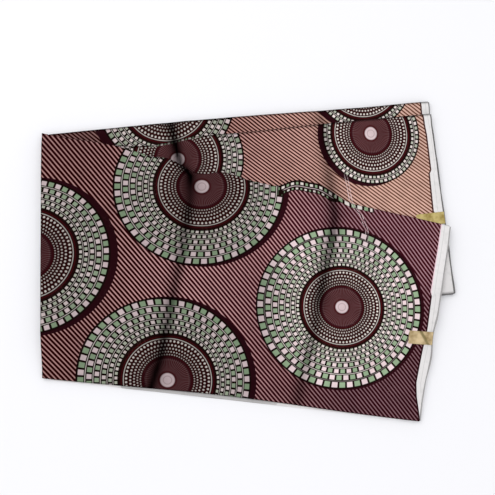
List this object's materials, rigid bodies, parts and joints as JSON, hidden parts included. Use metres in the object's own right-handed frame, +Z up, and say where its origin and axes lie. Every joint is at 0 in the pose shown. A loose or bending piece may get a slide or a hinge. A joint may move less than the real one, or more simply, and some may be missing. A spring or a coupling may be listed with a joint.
{
  "type": "folded length of african wax print fabric",
  "caption": "Length of printed cotton cloth, doubled and folded into two fanned bundles that lie flat, with its far folds, selvedges and blank foil labels showing.",
  "frame": {"origin": "centre of the bounding box, on the plane of the underside", "axes": "+X along the cloth's width towards the selvedges, +Y towards the far folds, +Z up"},
  "size_m": [0.608, 0.4758, 0.0154],
  "materials": {
    "warm_print": "light waxed cotton with a faint sheen",
    "dark_print": "light waxed cotton with a faint sheen",
    "cloth_edges": "matt cotton folds and white selvedges",
    "foil_label": "dull gold foil paper"
  },
  "bodies": {
    "root": {"folded_layers": "cloth_edges", "back_panel": "warm_print", "middle_panel": "warm_print", "front_panel": "dark_print", "back_label": "foil_label", "front_label": "foil_label"}
  },
  "joints": []
}
